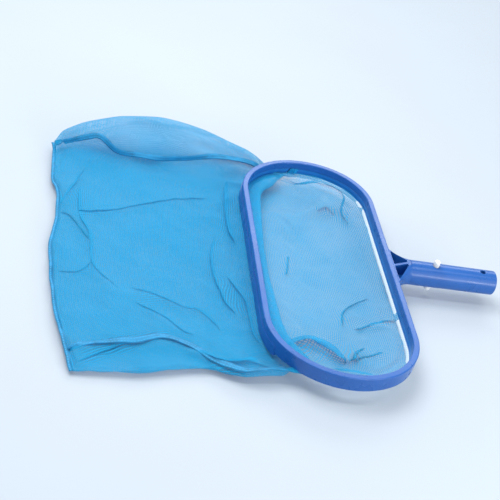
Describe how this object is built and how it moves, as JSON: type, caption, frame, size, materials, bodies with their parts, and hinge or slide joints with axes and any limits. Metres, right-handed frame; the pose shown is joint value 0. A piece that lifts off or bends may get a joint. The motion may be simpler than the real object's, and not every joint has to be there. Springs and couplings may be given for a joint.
{
  "type": "pool leaf skimmer net",
  "caption": "Pool leaf skimmer head: a rounded plastic hoop with a deep mesh bag, and a pole spigot with a sprung button clip.",
  "frame": {"origin": "on the pole spigot's axis at its open end, where the straight wall meets the rounded rim", "axes": "+X along the spigot, the way the pole leaves; +Y across the mouth; +Z out of the mouth, up as the net lies on the floor"},
  "size_m": [0.523, 0.43, 0.052],
  "materials": {
    "frame_plastic": "fine-grained polypropylene moulding, satin",
    "strip_plastic": "flexible extruded polypropylene, satin",
    "netting": "fine woven polyester mesh, translucent",
    "binding": "folded polyester binding, stitched",
    "button_plastic": "white acetal, smooth",
    "spring_steel": "stainless spring strip",
    "rivet_metal": "plain aluminium"
  },
  "bodies": {
    "head": {"frame_moulding": "frame_plastic", "spigot_side_strip": "strip_plastic", "leading_side_strip": "strip_plastic", "hem_tape": "binding", "net_upper_panel": "netting", "net_lower_panel": "netting", "left_side_seam": "binding", "right_side_seam": "binding", "end_seam": "binding", "clip_spring": "spring_steel"},
    "upper_button": {"upper_button": "button_plastic", "upper_rivet": "rivet_metal"},
    "lower_button": {"lower_button": "button_plastic", "lower_rivet": "rivet_metal"}
  },
  "joints": [
    {"name": "upper_button_press", "type": "slide", "parent": "head", "child": "upper_button", "axis": [0, 0, -1], "range_m": [0, 0.0073], "stiffness_N_per_m": 2000, "springref_m": -0.001, "deforming": ["clip_spring"]},
    {"name": "lower_button_press", "type": "slide", "parent": "head", "child": "lower_button", "axis": [0, 0, 1], "range_m": [0, 0.0073], "stiffness_N_per_m": 2000, "springref_m": -0.001, "deforming": ["clip_spring"]}
  ]
}
